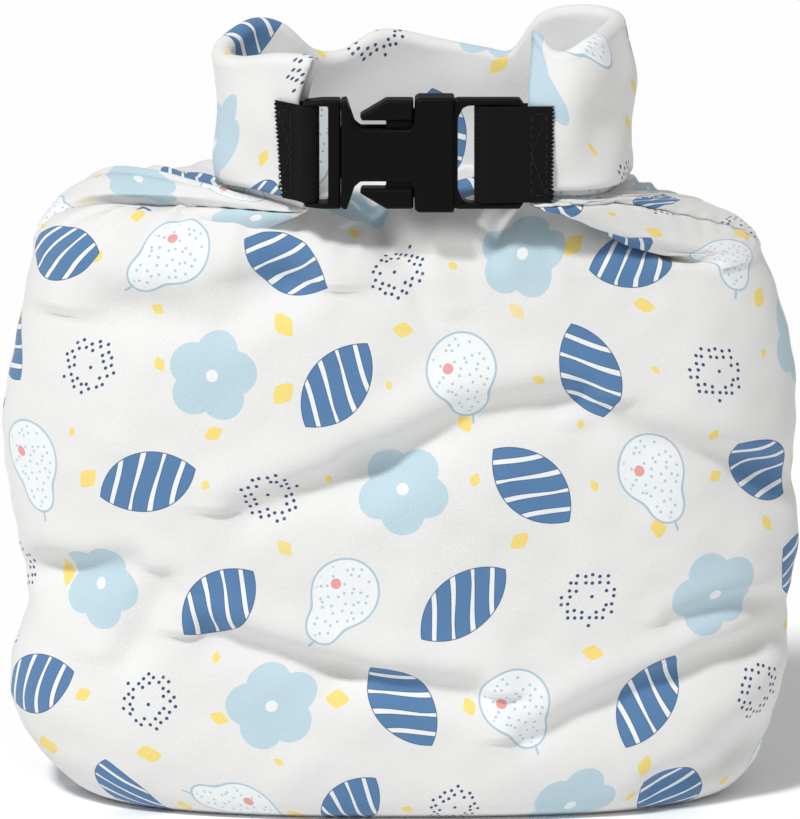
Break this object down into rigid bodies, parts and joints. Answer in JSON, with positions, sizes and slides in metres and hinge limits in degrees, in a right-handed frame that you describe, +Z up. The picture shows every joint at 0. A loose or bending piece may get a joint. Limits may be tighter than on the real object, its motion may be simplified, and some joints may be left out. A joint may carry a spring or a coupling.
{
  "type": "fold-top wet bag",
  "caption": "Filled soft cloth bag standing on its base, its mouth folded over once into a band and curled into a carrying loop closed by a side-release buckle.",
  "frame": {"origin": "middle of the bounding box's base, on the floor under the filled bag", "axes": "+Z up towards the folded band, -Y towards the side the buckle is on, +X towards the socket half of the buckle"},
  "size_m": [0.3086, 0.122, 0.3149],
  "materials": {
    "printed_cloth": "soft matte white with an all-over print",
    "webbing": "black woven webbing",
    "buckle_plastic": "satin black moulded plastic"
  },
  "bodies": {
    "root": {"front_panel": "printed_cloth", "back_panel": "printed_cloth", "webbing_tab_left": "webbing", "webbing_tab_right": "webbing", "buckle_plug": "buckle_plastic", "buckle_socket": "buckle_plastic"}
  },
  "joints": []
}
